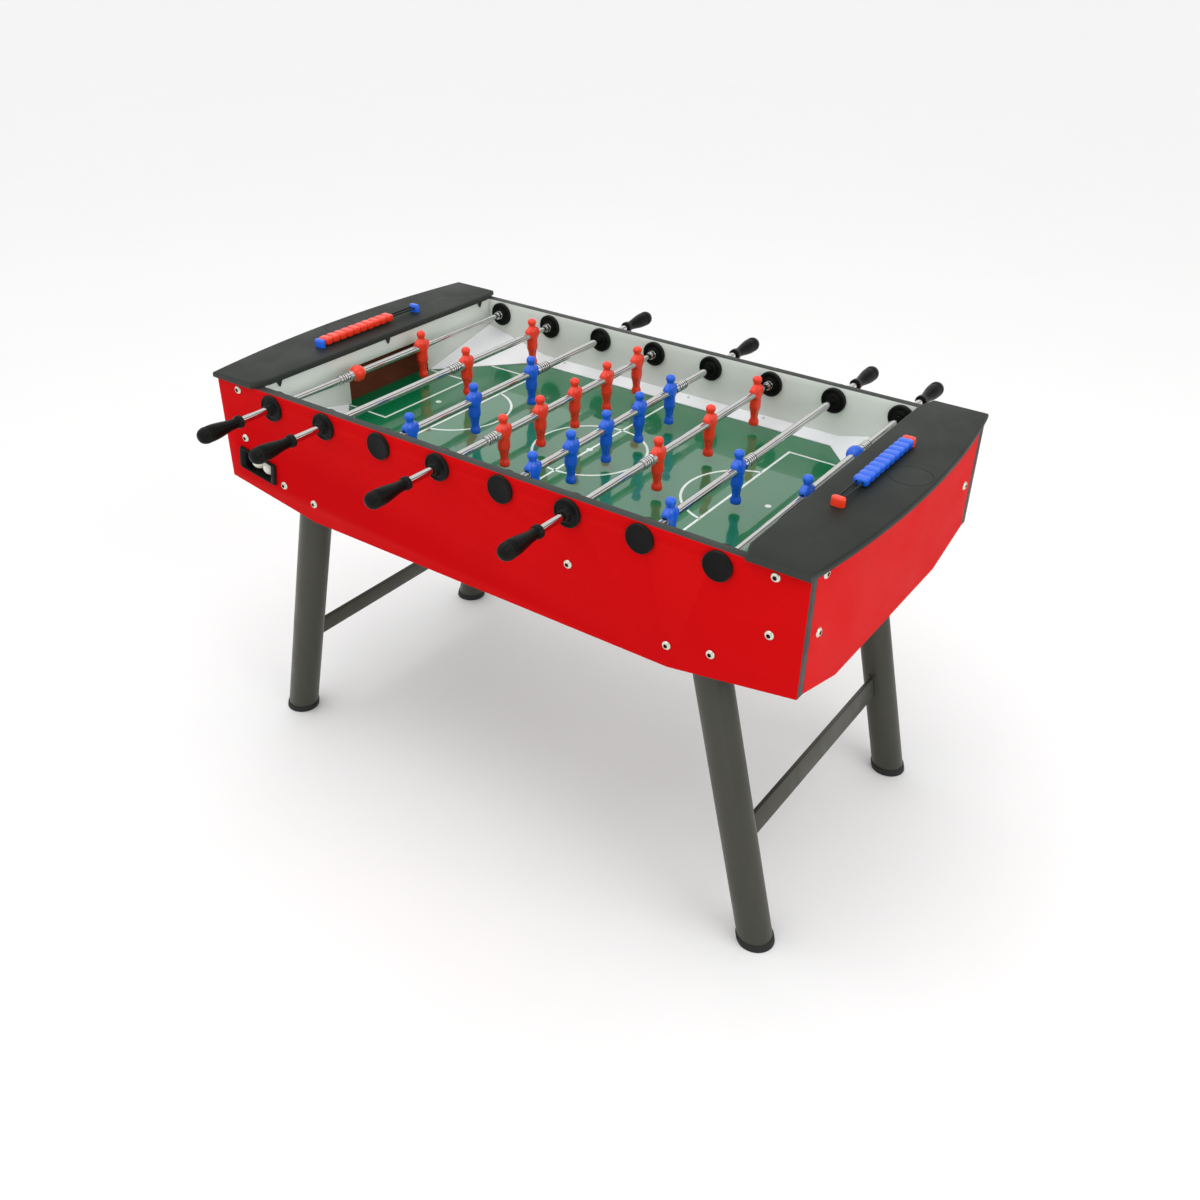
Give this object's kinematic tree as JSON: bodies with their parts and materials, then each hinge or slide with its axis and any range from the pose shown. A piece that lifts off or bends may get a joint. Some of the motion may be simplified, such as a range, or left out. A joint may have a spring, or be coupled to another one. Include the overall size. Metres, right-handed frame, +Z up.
{
  "type": "foosball table",
  "caption": "Free-standing foosball table: red cabinet on four splayed legs, telescopic rods that slide and spin moulded players, dark end caps with sliding score beads.",
  "frame": {"origin": "on the floor, at the centre of the table", "axes": "+X along the table towards the blue goalkeeper, +Y to the back long side, +Z up"},
  "size_m": [1.444, 1.124, 0.9025],
  "materials": {
    "red_panel": "red laminate, satin, with dark grey edge banding",
    "wall_white": "off-white laminate, satin",
    "field_green": "printed green, high gloss",
    "ramp_white": "white, satin",
    "black_plastic": "black, fine texture",
    "cap_plastic": "dark grey, fine grain",
    "chrome": "bright chrome",
    "red_plastic": "glossy moulded",
    "blue_plastic": "glossy moulded",
    "leg_paint": "dark olive grey powder coat, semi-gloss"
  },
  "bodies": {
    "cabinet": {"side_panel_front": "red_panel", "side_panel_back": "red_panel", "end_panel_left": "red_panel", "end_panel_right": "red_panel", "goal_wall_left": "wall_white", "goal_wall_right": "wall_white", "playfield": "field_green", "side_ramp_front": "ramp_white", "side_ramp_back": "ramp_white", "ball_outlet": "black_plastic", "leg_back_right": "leg_paint", "leg_front_right": "leg_paint", "leg_front_left": "leg_paint", "leg_back_left": "leg_paint", "cross_brace_right": "leg_paint", "cross_brace_left": "leg_paint", "end_cap_left": "cap_plastic", "end_cap_right": "cap_plastic", "rod_1_handle_bearing": "black_plastic", "rod_1_capped_bearing": "black_plastic", "rod_2_handle_bearing": "black_plastic", "rod_2_capped_bearing": "black_plastic", "rod_3_handle_bearing": "black_plastic", "rod_3_capped_bearing": "black_plastic", "rod_4_handle_bearing": "black_plastic", "rod_4_capped_bearing": "black_plastic", "rod_5_handle_bearing": "black_plastic", "rod_5_capped_bearing": "black_plastic", "rod_6_handle_bearing": "black_plastic", "rod_6_capped_bearing": "black_plastic", "rod_7_handle_bearing": "black_plastic", "rod_7_capped_bearing": "black_plastic", "rod_8_handle_bearing": "black_plastic", "rod_8_capped_bearing": "black_plastic"},
    "score_beads_left": {"score_beads_left": "red_plastic"},
    "score_beads_right": {"score_beads_right": "blue_plastic"},
    "inner_rod_1": {"rod_1_inner_rod": "chrome"},
    "player_rod_1": {"rod_1_players_red": "red_plastic", "rod_1_handle": "black_plastic"},
    "inner_rod_2": {"rod_2_inner_rod": "chrome"},
    "player_rod_2": {"rod_2_players_red": "red_plastic", "rod_2_handle": "black_plastic"},
    "inner_rod_3": {"rod_3_inner_rod": "chrome"},
    "player_rod_3": {"rod_3_players_blue": "blue_plastic", "rod_3_handle": "black_plastic"},
    "inner_rod_4": {"rod_4_inner_rod": "chrome"},
    "player_rod_4": {"rod_4_players_red": "red_plastic", "rod_4_handle": "black_plastic"},
    "inner_rod_5": {"rod_5_inner_rod": "chrome"},
    "player_rod_5": {"rod_5_players_blue": "blue_plastic", "rod_5_handle": "black_plastic"},
    "inner_rod_6": {"rod_6_inner_rod": "chrome"},
    "player_rod_6": {"rod_6_players_red": "red_plastic", "rod_6_handle": "black_plastic"},
    "inner_rod_7": {"rod_7_inner_rod": "chrome"},
    "player_rod_7": {"rod_7_players_blue": "blue_plastic", "rod_7_handle": "black_plastic"},
    "inner_rod_8": {"rod_8_inner_rod": "chrome"},
    "player_rod_8": {"rod_8_players_blue": "blue_plastic", "rod_8_handle": "black_plastic"}
  },
  "joints": [
    {"name": "rod_1_spin", "type": "hinge", "parent": "cabinet", "child": "inner_rod_1", "pos_m": [-0.525, 0, 0.8425], "axis": [0, 1, 0], "range_deg": [-200, 60]},
    {"name": "rod_1_slide", "type": "slide", "parent": "inner_rod_1", "child": "player_rod_1", "axis": [0, 1, 0], "range_m": [-0.155, 0.048]},
    {"name": "rod_2_spin", "type": "hinge", "parent": "cabinet", "child": "inner_rod_2", "pos_m": [-0.375, 0, 0.8425], "axis": [0, 1, 0], "continuous": true},
    {"name": "rod_2_slide", "type": "slide", "parent": "inner_rod_2", "child": "player_rod_2", "axis": [0, 1, 0], "range_m": [-0.342, 0.03]},
    {"name": "rod_3_spin", "type": "hinge", "parent": "cabinet", "child": "inner_rod_3", "pos_m": [-0.225, 0, 0.8425], "axis": [0, 1, 0], "continuous": true},
    {"name": "rod_3_slide", "type": "slide", "parent": "inner_rod_3", "child": "player_rod_3", "axis": [0, 1, 0], "range_m": [-0.024, 0.2]},
    {"name": "rod_4_spin", "type": "hinge", "parent": "cabinet", "child": "inner_rod_4", "pos_m": [-0.075, 0, 0.8425], "axis": [0, 1, 0], "continuous": true},
    {"name": "rod_4_slide", "type": "slide", "parent": "inner_rod_4", "child": "player_rod_4", "axis": [0, 1, 0], "range_m": [-0.105, 0.031]},
    {"name": "rod_5_spin", "type": "hinge", "parent": "cabinet", "child": "inner_rod_5", "pos_m": [0.075, 0, 0.8425], "axis": [0, 1, 0], "continuous": true},
    {"name": "rod_5_slide", "type": "slide", "parent": "inner_rod_5", "child": "player_rod_5", "axis": [0, 1, 0], "range_m": [-0.031, 0.105]},
    {"name": "rod_6_spin", "type": "hinge", "parent": "cabinet", "child": "inner_rod_6", "pos_m": [0.225, 0, 0.8425], "axis": [0, 1, 0], "continuous": true},
    {"name": "rod_6_slide", "type": "slide", "parent": "inner_rod_6", "child": "player_rod_6", "axis": [0, 1, 0], "range_m": [-0.2, 0.024]},
    {"name": "rod_7_spin", "type": "hinge", "parent": "cabinet", "child": "inner_rod_7", "pos_m": [0.375, 0, 0.8425], "axis": [0, 1, 0], "continuous": true},
    {"name": "rod_7_slide", "type": "slide", "parent": "inner_rod_7", "child": "player_rod_7", "axis": [0, 1, 0], "range_m": [-0.03, 0.342]},
    {"name": "rod_8_spin", "type": "hinge", "parent": "cabinet", "child": "inner_rod_8", "pos_m": [0.525, 0, 0.8425], "axis": [0, 1, 0], "range_deg": [-60, 200]},
    {"name": "rod_8_slide", "type": "slide", "parent": "inner_rod_8", "child": "player_rod_8", "axis": [0, 1, 0], "range_m": [-0.048, 0.155]},
    {"name": "score_left", "type": "slide", "parent": "cabinet", "child": "score_beads_left", "axis": [0, 1, 0], "range_m": [0, 0.075]},
    {"name": "score_right", "type": "slide", "parent": "cabinet", "child": "score_beads_right", "axis": [0, 1, 0], "range_m": [-0.075, 0]}
  ]
}
